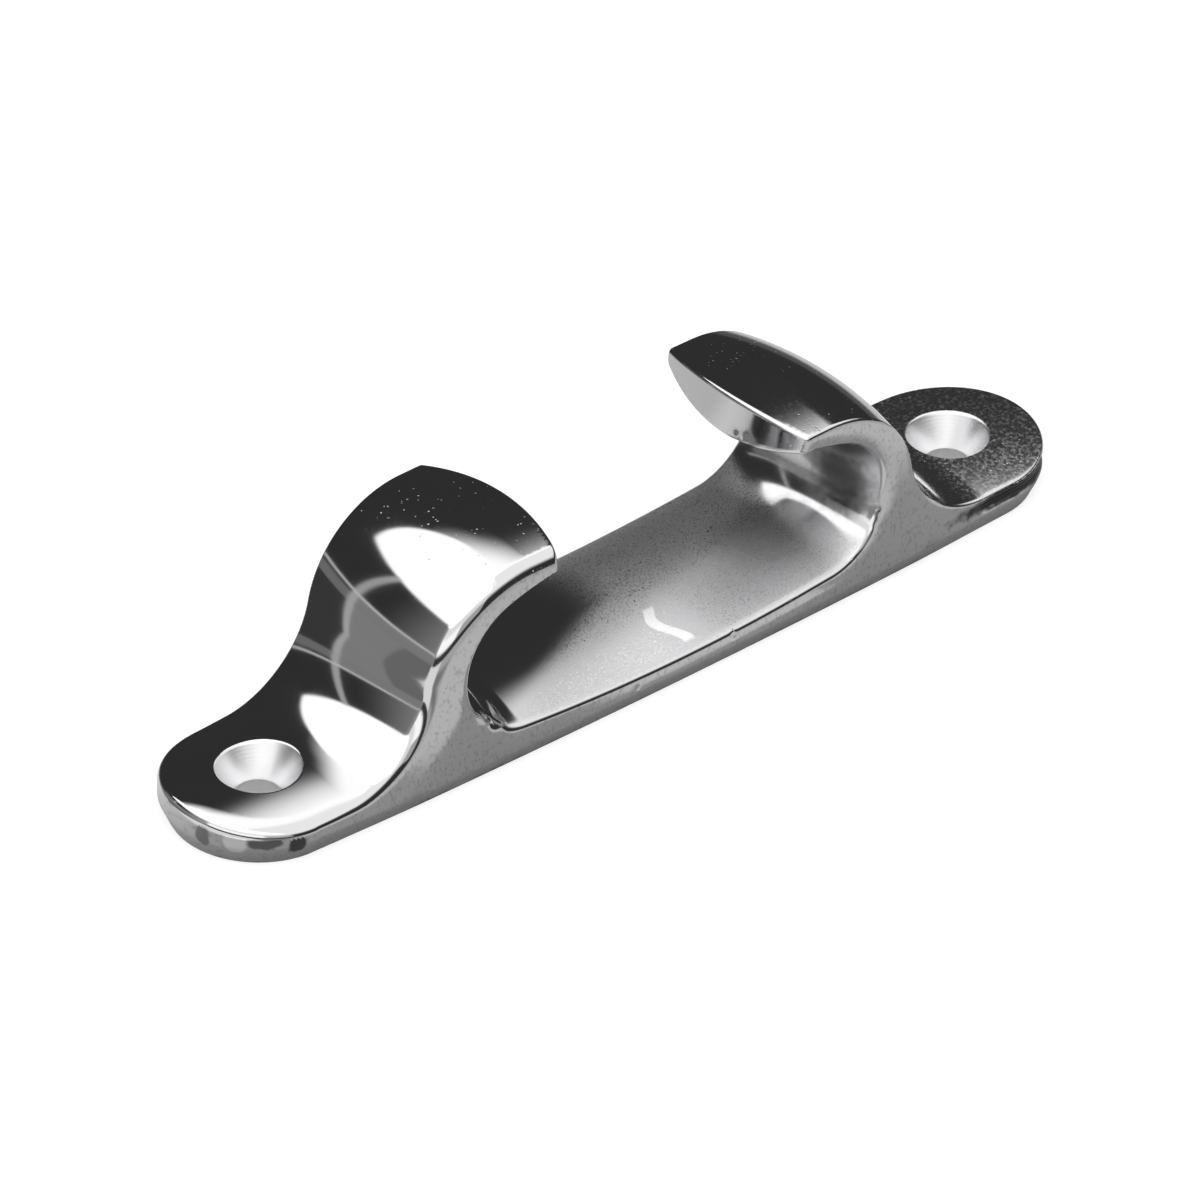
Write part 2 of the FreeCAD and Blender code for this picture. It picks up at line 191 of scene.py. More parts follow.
class FairleadForm:
    """Signed distance to the casting's skin, which gives the exact normal at any point of it."""

    def __init__(self, sizes: FormSizes) -> None:
        """Works out the arc centres from the sizes.

        Args:
            sizes: the casting's sizes in millimetres.
        """
        s = self.s = sizes
        horn_x = s.base_length / 2 - s.horn_inset
        corner_x = horn_x + s.corner_shift
        self.hole_x = s.base_length / 2 - s.hole_inset
        self.bore_top = s.tab_thickness - s.sink_depth
        self.taper = (s.sink_dia - s.bore_dia) / (2 * s.sink_depth)
        self.tip_x = horn_x - s.tip_reach
        self.half_width = s.end_radius + s.side_belly
        self.end_x = s.base_length / 2 - s.end_radius
        rise = self.end_x ** 2 + self.half_width ** 2 - s.end_radius ** 2
        self.side_radius = rise / (2 * s.side_belly)
        self.side_centre = self.side_radius - self.half_width
        self.horn = (horn_x, s.horn_height - s.horn_radius)
        foot_z = s.tab_thickness + s.foot_radius
        span = s.horn_radius + s.foot_radius
        self.foot = (self.horn[0] + math.sqrt(span ** 2 - (foot_z - self.horn[1]) ** 2), foot_z)
        self.lean = math.atan2(self.foot[1] - self.horn[1], self.foot[0] - self.horn[0])
        self.turn = math.radians(s.under_angle)
        room = s.horn_height - s.nose_wall - s.floor_height - s.under_radius * (1 - math.sin(self.turn))
        self.corner_radius = room / (1 + math.sin(self.turn))
        self.floor = (0.0, s.floor_height + s.floor_radius)
        reach = s.floor_radius - self.corner_radius
        self.corner = (corner_x, self.floor[1] - math.sqrt(reach ** 2 - corner_x ** 2))
        back = s.under_radius - self.corner_radius
        self.under = (self.corner[0] - back * math.cos(self.turn), self.corner[1] - back * math.sin(self.turn))
        self.meet = math.atan2(self.corner[1] - self.floor[1], self.corner[0] - self.floor[0])
        self.waist = (s.floor_height + s.horn_height) / 2

    @staticmethod
    def smooth(value: Array, step: Step) -> Array:
        """Turns a value into a soft step from 0 to 1."""
        share = np.clip((value - step.start) / (step.end - step.start), 0, 1)
        return share * share * (3 - 2 * share)

    @staticmethod
    def crowned(line: Array, crown: Measure, wide: Array) -> Array:
        """Distance to a face that is bowed across the width, from the distance to its line at the centre."""
        bow = np.sqrt(crown ** 2 - wide ** 2)
        return (line + crown - bow) * bow / crown

    @staticmethod
    def rounded(face: Array, side: Array, depth: Measure, width: Measure, lean: Measure = 0.0) -> Array:
        """Meets two faces with a rounded outer edge, a quarter of an ellipse.

        Args:
            face: distance to the first face.
            side: distance to the second face.
            depth: how far the edge reaches down the second face.
            width: how far the edge reaches along the first face.
            lean: cosine of the angle between the faces' normals.

        Returns:
            About the distance to the rounded corner; it is exact where it is zero.
        """
        down, over = face / depth + 1, side / width + 1
        span = (down ** 2 + over ** 2 - 2 * down * over * lean) / (1 - lean ** 2)
        on_edge = (down > over * lean) & (over > down * lean)
        return np.where(on_edge, (np.sqrt(np.maximum(span, 0)) - 1) * width, np.maximum(face, side))

    def facet(self, wall: Array, face: Array, share: Array, height: Measure) -> Array:
        """Tilts the top of a wall inwards, with a soft line where the tilt starts.

        Args:
            wall: distance to the upright wall.
            face: distance to the face that the wall meets at its top.
            share: how much of the tilt there is, from 0 to 1.
            height: how far below the face a whole tilt starts.

        Returns:
            Distance to the wall with its facet.
        """
        turn, blend = np.radians(self.s.facet_tilt * share), self.s.facet_blend
        tilted = wall * np.cos(turn) + (face + height * share) * np.sin(turn)
        near = np.maximum(blend - np.abs(wall - tilted), 0)
        return np.maximum(wall, tilted) + near ** 2 / (4 * blend) * (share > 0)

    def outer(self, at: Spots) -> Array:
        """Works out the outer line of a horn and its tab.

        Args:
            at: the points.

        Returns:
            Their distance above the line, on the centre plane.
        """
        s = self.s
        horn = np.hypot(at.x - self.horn[0], at.z - self.horn[1]) - s.horn_radius
        foot = s.foot_radius - np.hypot(at.x - self.foot[0], at.z - self.foot[1])
        side = (at.z - self.horn[1]) * math.cos(self.lean) - (at.x - self.horn[0]) * math.sin(self.lean)
        line = np.where(side > 0, horn, foot)
        line = np.where(at.x < self.horn[0], at.z - s.horn_height, line)
        fall = (at.x - self.foot[0]) ** 2 / (2 * s.tab_fall_radius)
        return np.where(at.x > self.foot[0], at.z - s.tab_thickness + fall, line)

    def throat(self, at: Spots) -> Array:
        """Works out the line of the throat: its floor, its corner and the underside of the horn.

        Args:
            at: the points.

        Returns:
            Their distance into the throat, on the centre plane.
        """
        s = self.s
        floor = s.floor_radius - np.hypot(at.x - self.floor[0], at.z - self.floor[1])
        corner = self.corner_radius - np.hypot(at.x - self.corner[0], at.z - self.corner[1])
        under = s.under_radius - np.hypot(at.x - self.under[0], at.z - self.under[1])
        around = np.arctan2(at.z - self.corner[1], at.x - self.corner[0])
        along = np.arctan2(at.z - self.floor[1], at.x - self.floor[0])
        low = np.where(along < self.meet, floor, corner)
        return np.where(at.z < self.corner[1], low, np.where(around < self.turn, corner, under))

    def wall(self, at: Spots) -> tuple[Array, Array]:
        """Works out the plain wall, which leans in at its foot.

        Args:
            at: the points.

        Returns:
            Their distance outside the wall, and how far its normal turns to the side.
        """
        s = self.s
        side = np.hypot(at.x, at.y + self.side_centre) - self.side_radius
        from_end = np.hypot(at.x - self.end_x, at.y)
        turn = math.atan2(self.side_centre, self.end_x)
        past = at.x * math.sin(turn) - (at.y + self.side_centre) * math.cos(turn) > 0
        upright = np.where(past, from_end - s.end_radius, side)
        share = self.smooth(at.x, Step(self.foot[0] - s.foot_radius, self.end_x))
        rise = s.tuck_rise + (s.lip_rise - s.tuck_rise) * share
        inset = s.tuck_inset + (s.lip_inset - s.tuck_inset) * share
        leaning = (upright + inset * (1 - at.z / rise)) * rise / np.hypot(rise, inset)
        sideways = np.where(past, at.y / np.maximum(from_end, s.end_core), 1.0)
        return np.maximum(upright, leaning), sideways

    def tip(self, at: Spots) -> Array:
        """Distance past the bowed face of a horn's tip, far below zero where no tip is."""
        bowed = np.hypot(at.x - self.tip_x - self.s.tip_radius, at.y) - self.s.tip_radius
        return np.where((at.z > self.waist) & (at.x < self.tip_x + self.s.tip_radius), bowed, -self.s.base_length)

    def hole(self, at: Spots) -> Array:
        """Distance into the bore and its countersink."""
        inside = self.s.bore_dia / 2 - np.hypot(at.x - self.hole_x, at.y)
        return np.maximum((inside + self.taper * (at.z - self.bore_top)) / math.hypot(1, self.taper), inside)

    def pillow(self, at: Spots, wall: Array, on_tab: Array) -> Array:
        """Fall of the tabs' tops near the front wall, in full on the left tab."""
        share = np.where(at.left, 1.0, self.s.right_pillow) * on_tab * self.smooth(at.front, self.s.pillow_front)
        return np.maximum(wall + self.s.pillow_reach * share, 0) ** 2 / (2 * self.s.pillow_radius) * (at.z > 0)

    def worked_walls(self, at: Spots, wall: Array, outer: Array, throat: Array) -> list[Array]:
        """Cuts the groove under the right tab's lip, and tilts the wall along the front edges.

        Args:
            at: the points.
            wall: their distance outside the plain wall.
            outer: their distance above the outer faces.
            throat: their distance into the throat.

        Returns:
            Their distances outside the walls that meet the outer faces and the throat.
        """
        s = self.s
        on_lip = self.smooth(at.x - self.foot[0], s.groove_start) * ~at.left * self.smooth(at.front, s.groove_front)
        groove = s.groove_depth * np.exp(-((outer + s.groove_below) / s.groove_width) ** 2) * on_lip
        front = self.smooth(at.front, s.front)
        on_horn = front * at.left * (1 - self.smooth(at.x, s.foot_fade))
        height = s.rim_facet + (s.right_rim_facet - s.rim_facet) * self.smooth(at.along, s.rim_narrows)
        return [self.facet(wall + groove, outer, on_horn, s.left_facet), self.facet(wall, throat, front, height)]

    def outer_edge(self, at: Spots, on_tab: Array) -> tuple[Array, Array]:
        """Sizes the outer edge, which is wide on the left horn's front and sharp on the right tab.

        Args:
            at: the points.
            on_tab: how far they are on a tab, from 0 to 1.

        Returns:
            How far the edge reaches down the wall and along the face.
        """
        s = self.s
        soft = self.smooth(at.front, s.front) * at.left * (1 - s.left_sharpness * self.smooth(at.x, s.foot_fade))
        depth = s.outer_depth * (1 - s.right_sharpness * on_tab * ~at.left) + (s.left_depth - s.outer_depth) * soft
        return depth, s.outer_round + (s.left_round - s.outer_round) * soft

    def solve(self, points: Array) -> tuple[Array, Array]:
        """Measures points against the skin; distances are negative inside the metal.

        Args:
            points: an array whose last axis is x, y and z, in millimetres.

        Returns:
            Their distance to the skin, and a row of distances to the faces of each Zone.
        """
        s = self.s
        along, across, z = points[..., 0], points[..., 1], points[..., 2]
        at = Spots(np.abs(along), np.abs(across), z, along, -across, along < 0)
        on_tab = self.smooth(at.x - self.foot[0], s.tab_blend)
        wide = np.minimum(at.y, self.half_width * s.crown_reach)
        wall, sideways = self.wall(at)
        crown = s.outer_crown + (np.where(at.left, s.left_tab_crown, s.right_tab_crown) - s.outer_crown) * on_tab
        outer = self.crowned(self.outer(at), crown, wide) + self.pillow(at, wall, on_tab)
        throat = self.crowned(self.throat(at), s.throat_crown, wide)
        tip, hole = self.tip(at), self.hole(at)
        sunk = self.rounded(outer, hole, s.sink_round, s.sink_round, self.taper / math.hypot(1, self.taper))
        outer_wall, throat_wall = self.worked_walls(at, wall, outer, throat)
        edge = self.rounded(sunk, outer_wall, *self.outer_edge(at, on_tab), sideways * wide / crown)
        rim = self.rounded(throat, throat_wall, s.rim_depth, s.rim_round, sideways * wide / s.throat_crown)
        body = self.rounded(np.maximum(edge, rim), tip, s.tip_round, s.tip_round)
        body = np.maximum(np.maximum(body, -z), hole)
        for flaw in FLAWS:
            away = ((points - np.array(flaw.place)) ** 2).sum(axis=-1)
            body = body - flaw.rise * np.exp(-away / flaw.radius ** 2)
        faces = {Zone.POLISHED: np.maximum(outer, tip), Zone.THROAT: throat,
                 Zone.WALL: np.maximum(np.maximum(outer_wall, throat_wall), -z), Zone.SINK: hole}
        return body, np.stack([faces[zone] for zone in Zone])

    def zones(self, points: Array, margin: float) -> Array:
        """Zone values at points of the skin: polished where they lie deeper than the margin under every face."""
        depths = self.solve(points)[1]
        return np.where(depths.max(axis=0) < -margin, Zone.POLISHED.value, np.argmax(depths, axis=0))

    def slope(self, points: Array, step: float = 0.004) -> Array:
        """Works out the slope of the distance to the skin.

        Args:
            points: an array whose last axis is x, y and z, in millimetres.
            step: how far each way the distance is compared.

        Returns:
            One vector for each point.
        """
        slope = np.empty_like(points)
        for axis in range(points.shape[-1]):
            shift = np.zeros(points.shape[-1])
            shift[axis] = step
            slope[..., axis] = (self.solve(points + shift)[0] - self.solve(points - shift)[0]) / (2 * step)
        return slope

    def normals(self, points: Array) -> Array:
        """Unit normals of the skin at points in millimetres."""
        slope = self.slope(points)
        return slope / np.maximum(np.linalg.norm(slope, axis=-1, keepdims=True), TINY)


class Bench:
    """Adds nodes to a tree and wires them up."""

    COLOUR_UNDER, COLOUR_OVER, COLOUR_RESULT = 6, 7, 2

    def __init__(self, tree: NodeTree) -> None:
        """Keeps the tree that the nodes go into."""
        self.tree = tree

    def put(self, socket: Socket, value: Value) -> None:
        """Gives a socket its value, or links it to the output that the value comes from.

        Args:
            socket: the input.
            value: a number, a vector, a colour or an output.
        """
        if isinstance(value, Socket):
            self.tree.links.new(value, socket)
        else:
            socket.default_value = value

    def add(self, kind: str, values: dict[str | int, Value] | None = None, **settings: object) -> Node:
        """Adds a node.

        Args:
            kind: Blender's own word for it.
            values: what its inputs get, by name or place.
            settings: its other properties.

        Returns:
            The node.
        """
        node = self.tree.nodes.new(kind)
        for name, setting in settings.items():
            setattr(node, name, setting)
        for name, value in (values or {}).items():
            self.put(node.inputs[name], value)
        return node

    def maths(self, operation: str, *values: Value) -> Socket:
        """Works out one sum."""
        return self.add("ShaderNodeMath", dict(enumerate(values)), operation=operation).outputs["Value"]

    def times(self, *values: Value) -> Value:
        """Multiplies values."""
        return reduce(lambda first, second: self.maths("MULTIPLY", first, second), values)

    def plus(self, *values: Value) -> Value:
        """Adds values up."""
        return reduce(lambda first, second: self.maths("ADD", first, second), values)

    def length(self, across: Socket, along: Socket) -> Socket:
        """Length of a line that reaches so far across and so far along."""
        return self.maths("SQRT", self.plus(self.times(across, across), self.times(along, along)))

    def mix(self, factor: Value, under: Value, over: Value) -> Socket:
        """Mixes two numbers, of which the second shows by the factor."""
        return self.add("ShaderNodeMix", {"Factor": factor, "A": under, "B": over}).outputs["Result"]

    def mix_colours(self, factor: Value, under: Value, over: Value) -> Socket:
        """Mixes two colours, of which the second shows by the factor."""
        values = {0: factor, self.COLOUR_UNDER: under, self.COLOUR_OVER: over}
        return self.add("ShaderNodeMix", values, data_type="RGBA").outputs[self.COLOUR_RESULT]

    def ramp(self, value: Value, step: Step) -> Socket:
        """Turns a value into a soft step from 0 to 1."""
        values = {"Value": value, "From Min": step.start, "From Max": step.end}
        return self.add("ShaderNodeMapRange", values, interpolation_type="SMOOTHSTEP").outputs["Result"]

    def within(self, value: Value, steps: tuple[Step, ...]) -> Value:
        """Mask of where a value is past all of several steps."""
        return self.times(*(self.ramp(value, step) for step in steps))

    def split(self, vector: Socket) -> tuple[Socket, ...]:
        """Takes a vector apart into x, y and z."""
        return tuple(self.add("ShaderNodeSeparateXYZ", {"Vector": vector}).outputs)

    def mapped(self, vector: Socket, scale: Triple, shift: Triple = (0.0, 0.0, 0.0)) -> Socket:
        """Scales and then shifts a place before a pattern reads it."""
        values = {"Vector": vector, "Scale": scale, "Location": shift}
        return self.add("ShaderNodeMapping", values).outputs["Vector"]

    def noise(self, vector: Socket, scale: Value, detail: float = 2.0) -> Socket:
        """Adds a noise pattern, about 0.5 on average."""
        values = {"Vector": vector, "Scale": scale, "Detail": detail}
        return self.add("ShaderNodeTexNoise", values).outputs["Fac"]


@dataclass
class Effects:
    """Shader node groups that several finishes share, each built once; lengths are in metres."""

    pit_cells: float = 1900.0
    pit_size: float = 0.36
    pit_core: float = 0.4
    pits_kept: Step = Step(0.4, 0.42)
    cluster_scale: float = 170.0
    cluster_soft: float = 0.12
    pitted_top: Step = Step(0.0235, 0.0255)
    pitted_right: Step = Step(-0.012, -0.01)
    grain_stretch: Triple = (15000.0, 3200.0, 9000.0)
    grain_detail: float = 3.0
    wave_scale: float = 110.0
    wave_detail: float = 1.0

    @staticmethod
    def start(name: str, output: str, **numbers: float) -> tuple[Bench, NodeOutputs, Socket]:
        """Makes an empty group with a Place input, number inputs and one output.

        Args:
            name: the group's name.
            output: name of the output.
            numbers: names and first values of the number inputs.

        Returns:
            The group's bench, what it is given, and the socket that its result goes into.
        """
        tree = bpy.data.node_groups.new(name, "ShaderNodeTree")
        tree.interface.new_socket("Place", in_out="INPUT", socket_type="NodeSocketVector")
        for key, value in numbers.items():
            tree.interface.new_socket(key, in_out="INPUT", socket_type="NodeSocketFloat").default_value = value
        tree.interface.new_socket(output, in_out="OUTPUT", socket_type="NodeSocketFloat")
        bench = Bench(tree)
        return bench, bench.add("NodeGroupInput").outputs, bench.add("NodeGroupOutput").inputs[output]

    @cached_property
    def pits(self) -> NodeTree:
        """Makes small casting pits in loose clusters, on the horns' tops and the right half.

        Returns:
            A group whose Mask is 1 in a pit.
        """
        bench, given, out = self.start("pits", "Mask", Cluster=0.5)
        cells = bench.add("ShaderNodeTexVoronoi", {"Vector": given["Place"], "Scale": self.pit_cells}).outputs
        tone = bench.add("ShaderNodeSeparateColor", {"Color": cells["Color"]}).outputs
        size = bench.times(tone["Green"], self.pit_size)
        hole = bench.ramp(cells["Distance"], Step(size, bench.times(size, self.pit_core)))
        cluster = Step(given["Cluster"], bench.plus(given["Cluster"], self.cluster_soft))
        near = bench.ramp(bench.noise(given["Place"], self.cluster_scale), cluster)
        x, _, z = bench.split(given["Place"])
        pitted = bench.maths("MAXIMUM", bench.ramp(z, self.pitted_top), bench.ramp(x, self.pitted_right))
        bench.put(out, bench.times(hole, near, bench.ramp(tone["Red"], self.pits_kept), pitted))
        return bench.tree

    @cached_property
    def grain(self) -> NodeTree:
        """Makes the belt-polishing grain that runs across the part, along Y.

        Returns:
            A group with the grain's Height.
        """
        bench, given, out = self.start("grain", "Height", Scale=1.0)
        stretched = bench.mapped(given["Place"], self.grain_stretch)
        bench.put(out, bench.noise(stretched, given["Scale"], self.grain_detail))
        return bench.tree

    @cached_property
    def waves(self) -> NodeTree:
        """Makes the slow unevenness that hand polishing leaves.

        Returns:
            A group with the waves' Height.
        """
        bench, given, out = self.start("waves", "Height")
        bench.put(out, bench.noise(given["Place"], self.wave_scale, self.wave_detail))
        return bench.tree


class Surface(Bench):
    """One material's bench, with the place on its piece and the shared effects at hand."""

    def __init__(self, name: str, effects: Effects | None = None) -> None:
        """Starts the material.

        Args:
            name: its name.
            effects: the shared node groups, where it uses any.
        """
        self.made = bpy.data.materials.new(name)
        self.made.use_nodes = True
        super().__init__(self.made.node_tree)
        self.shader = self.tree.nodes["Principled BSDF"].inputs
        self.place = self.add("ShaderNodeTexCoord").outputs["Object"]
        self.x, self.y, self.z = self.split(self.place)
        self.effects = effects
        self.placed: dict[str, Socket] = {}

    def effect(self, name: str, **numbers: float) -> Socket:
        """Puts a shared effect into the material, once.

        Args:
            name: pits, grain or waves.
            numbers: what its number inputs get.

        Returns:
            The effect's output.
        """
        if name not in self.placed:
            values = {"Place": self.place, **numbers}
            node = self.add("ShaderNodeGroup", values, node_tree=getattr(self.effects, name))
            self.placed[name] = node.outputs[0]
        return self.placed[name]


@dataclass(frozen=True)
class PaintedPatch:
    """A painted patch of shade or reflection, dark or bright, on one zone, in metres.

    Its edge lies at the share rim of its reach, and the share soft of its reach is the width of that edge.
    """

    place: Triple
    reach: Triple
    shade: float
    zone: Zone = Zone.WALL
    soft: float = 0.4
    rim: float = 0.95

    def lay(self, on: Surface, ragged: Socket, tone: Value) -> Socket:
        """Lays the painted patch of shade or reflection over a colour.

        Args:
            on: the material.
            ragged: noise round 1 that frays the edge.
            tone: the colour.

        Returns:
            The colour with the patch.
        """
        scale = tuple(1 / reach for reach in self.reach)
        shift = tuple(-place * share for place, share in zip(self.place, scale))
        length = on.add("ShaderNodeVectorMath", {0: on.mapped(on.place, scale, shift)}, operation="LENGTH")
        edge = Step(self.rim + self.soft / 2, self.rim - self.soft / 2)
        mask = on.ramp(on.times(length.outputs["Value"], ragged), edge)
        return on.mix_colours(mask, tone, (self.shade, self.shade, self.shade, 1.0))


PAINTED_PATCHES = (
    # painted reflections on the left tab's wall: three dark marks, then one bright painted highlight
    PaintedPatch((-0.0554, -0.0107, 0.0026), (0.0011, 0.002, 0.0013), 0.1),
    PaintedPatch((-0.0588, -0.0092, 0.0034), (0.0024, 0.002, 0.0008), 0.2),
    PaintedPatch((-0.063, -0.0033, 0.0032), (0.003, 0.0009, 0.0016), 0.28),
    PaintedPatch((-0.0612, -0.0068, 0.0034), (0.0012, 0.0016, 0.0018), 1.0),
    # painted shade under the right tab's lip, over its groove
    PaintedPatch((0.0575, -0.0105, 0.0039), (0.015, 0.02, 0.0013), 0.06),
    # painted shade on the right horn's inner wall, then on the throat floor
    PaintedPatch((0.0294, -0.0062, 0.0130), (0.0035, 0.0042, 0.0036), 0.16, Zone.THROAT, 1.0),
    PaintedPatch((0.0205, -0.0025, 0.0067), (0.0056, 0.0042, 0.0030), 0.34, Zone.THROAT, 1.5),
)


@dataclass(frozen=True)
class SteelFinish:
    """Bare steel with pits and slow waves; lengths are in metres."""

    name: str
    zone: Zone
    colour: Colour = (0.66, 0.66, 0.668, 1.0)
    smooth: float = 0.05
    rough: float = 0.34
    cloud_scale: float = 300.0
    wave_height: float = 0.000012
    pit_cluster: float = 0.46
    pit_rough: float = 0.36
    pit_depth: float = 0.00002

    def material(self, effects: Effects) -> Material:
        """Makes the finish.

        Args:
            effects: the shared node groups.

        Returns:
            A node-based metal.
        """
        on = Surface(self.name, effects)
        pits = on.effect("pits", Cluster=self.pit_cluster)
        rough = on.mix(self.worn(on), self.smooth, self.rough)
        height = on.plus(self.relief(on), on.times(pits, -self.pit_depth))
        bump = on.add("ShaderNodeBump", {"Distance": 1.0, "Height": height})
        on.put(on.shader["Metallic"], 1.0)
        on.put(on.shader["Roughness"], on.mix(pits, rough, self.pit_rough))
        on.put(on.shader["Base Color"], self.tone(on))
        on.put(on.shader["Normal"], bump.outputs["Normal"])
        return on.made

    def worn(self, on: Surface) -> Socket:
        """Share of the rough end of the finish: slow clouds."""
        return on.noise(on.place, self.cloud_scale)

    def tone(self, on: Surface) -> Value:
        """Colour of the steel, the same all over."""
        return self.colour

    def relief(self, on: Surface) -> Socket:
        """Height of the fine unevenness: slow waves."""
        return on.times(on.effect("waves"), self.wave_height)


@dataclass(frozen=True)
class PolishedSteel(SteelFinish):
    """Mirror polish of the outer faces, worn on the right horn and most of all on the right tab."""

    name: str = "polished_steel"
    zone: Zone = Zone.POLISHED
    cloud_share: float = 0.2
    right_horn: Step = Step(0.01, 0.02)
    horn_share: float = 0.3
    right_tab: Step = Step(0.04, 0.048)
    speck_scale: float = 2200.0
    specks: Step = Step(0.35, 0.75)
    between_specks: float = 0.35

    def worn(self, on: Surface) -> Socket:
        """Speckles the polish of the right half, and clouds all of it a little.

        Args:
            on: the material.

        Returns:
            Share of the rough end of the finish.
        """
        share = on.mix(on.ramp(on.x, self.right_tab), on.times(on.ramp(on.x, self.right_horn), self.horn_share), 1.0)
        specks = on.ramp(on.noise(on.place, self.speck_scale), self.specks)
        speckled = on.times(share, on.mix(specks, self.between_specks, 1.0))
        return on.maths("MAXIMUM", speckled, on.times(super().worn(on), self.cloud_share))


@dataclass(frozen=True)
class GrainedSteel(SteelFinish):
    """Steel with a fine grain that shows as darker strokes, and with its zone's painted patches of shade and
    reflection.
    """

    smooth: float = 0.07
    pit_cluster: float = 0.7
    grain_scale: float = 1.0
    grain_height: float = 0.000001
    stroke_share: float = 0.2
    strokes: Step = Step(0.5, 0.7)
    stroke_shade: float = 0.72
    fray_scale: float = 900.0
    fray: Step = Step(0.7, 1.3)

    def grain(self, on: Surface) -> Socket:
        """Height of the grain, from 0 to 1."""
        return on.effect("grain", Scale=self.grain_scale)

    def tone(self, on: Surface) -> Value:
        """Lays the dark strokes and the painted patches of shade and reflection over the steel's colour.

        Args:
            on: the material.

        Returns:
            The colour.
        """
        dark = (*(self.stroke_shade * part for part in self.colour[:3]), 1.0)
        strokes = on.times(on.ramp(self.grain(on), self.strokes), self.stroke_share)
        tone = on.mix_colours(strokes, self.colour, dark)
        ragged = on.mix(on.noise(on.place, self.fray_scale), *self.fray)
        # lays this zone's painted patches of shade and reflection
        for painted_patch in PAINTED_PATCHES:
            if painted_patch.zone is self.zone:
                tone = painted_patch.lay(on, ragged, tone)
        return tone

    def relief(self, on: Surface) -> Socket:
        """Height of the waves and the grain."""
        return on.plus(super().relief(on), on.times(self.grain(on), self.grain_height))


@dataclass(frozen=True)
class BeltedSteel(GrainedSteel):
    """The throat: belt-polished, dulled by ropes right of a slanting line, with one painted highlight in a bright bent
    mark.
    """

    name: str = "belted_steel"
    zone: Zone = Zone.THROAT
    rough: float = 0.46
    slant: float = 1.73
    dulled: Step = Step(-0.009, 0.002)
    corner: Step = Step(0.0068, 0.0082)
    corner_share: float = 0.15
    under_horn: Step = Step(0.0095, 0.0115)
    under_share: float = 0.5
    brushed: Step = Step(0.3, 0.5)
    painted_highlight_colour: Colour = (0.98, 0.98, 0.98, 1.0)
    mark_ends: tuple[Step, Step] = (Step(-0.0108, -0.0102), Step(-0.0042, -0.0048))
    mark_start: float = 0.0006
    mark_bend: Step = Step(-0.0066, -0.0106)
    bend_reach: float = 0.0022
    mark_hook: Step = Step(-0.0064, -0.0044)
    hook_reach: float = 0.0009
    mark_width: Step = Step(0.0009, 0.00065)

    def worn(self, on: Surface) -> Socket:
        """Dulls the floor in full, its corner least and the underside of the horn by half.

        Args:
            on: the material.

        Returns:
            Share of the rough end of the finish.
        """
        slanted = on.maths("SUBTRACT", on.x, on.times(on.maths("MINIMUM", on.y, 0.0), self.slant))
        share = on.mix(on.ramp(on.z, self.corner), 1.0, self.corner_share)
        share = on.mix(on.ramp(on.z, self.under_horn), share, self.under_share)
        return on.times(on.ramp(slanted, self.dulled), share, on.ramp(self.grain(on), self.brushed))

    def tone(self, on: Surface) -> Value:
        """Draws the painted highlight, a bright mark which bends to the right at both ends, over the grained colour.

        Args:
            on: the material.

        Returns:
            The colour.
        """
        bend = on.times(on.ramp(on.y, self.mark_bend), self.bend_reach)
        hook = on.times(on.ramp(on.y, self.mark_hook), self.hook_reach)
        off = on.maths("ABSOLUTE", on.maths("SUBTRACT", on.x, on.plus(bend, hook, self.mark_start)))
        # painted highlight: the mark's colour is nearly white
        painted_highlight = on.times(on.within(on.y, self.mark_ends), on.ramp(off, self.mark_width))
        return on.mix_colours(painted_highlight, super().tone(on), self.painted_highlight_colour)


@dataclass(frozen=True)
class GroundSteel(GrainedSteel):
    """The wall: coarsely ground, but polished round the left tab's end."""

    name: str = "ground_steel"
    zone: Zone = Zone.WALL
    rough: float = 0.17
    grain_scale: float = 0.2
    grain_height: float = 0.0000012
    stroke_share: float = 0.9
    ground: Step = Step(-0.046, -0.04)

    def worn(self, on: Surface) -> Socket:
        """Share of the rough end of the finish: slow clouds, and none round the left tab's end."""
        return on.times(on.ramp(on.x, self.ground), super().worn(on))


@dataclass(frozen=True)
class TurnedSteel(SteelFinish):
    """The countersinks: bright, with the cutter's fine rings."""

    name: str = "turned_steel"
    zone: Zone = Zone.SINK
    colour: Colour = (0.82, 0.82, 0.826, 1.0)
    smooth: float = 0.3
    rough: float = 0.36
    pit_cluster: float = 0.9
    ring_pitch: float = 16000.0
    ring_height: float = 0.0000015

    def relief(self, on: Surface) -> Socket:
        """Height of the rings, in place of the waves."""
        return on.times(on.maths("SINE", on.times(on.z, self.ring_pitch)), self.ring_height)


FINISHES = {finish.zone: finish for finish in (PolishedSteel(), BeltedSteel(), GroundSteel(), TurnedSteel())}


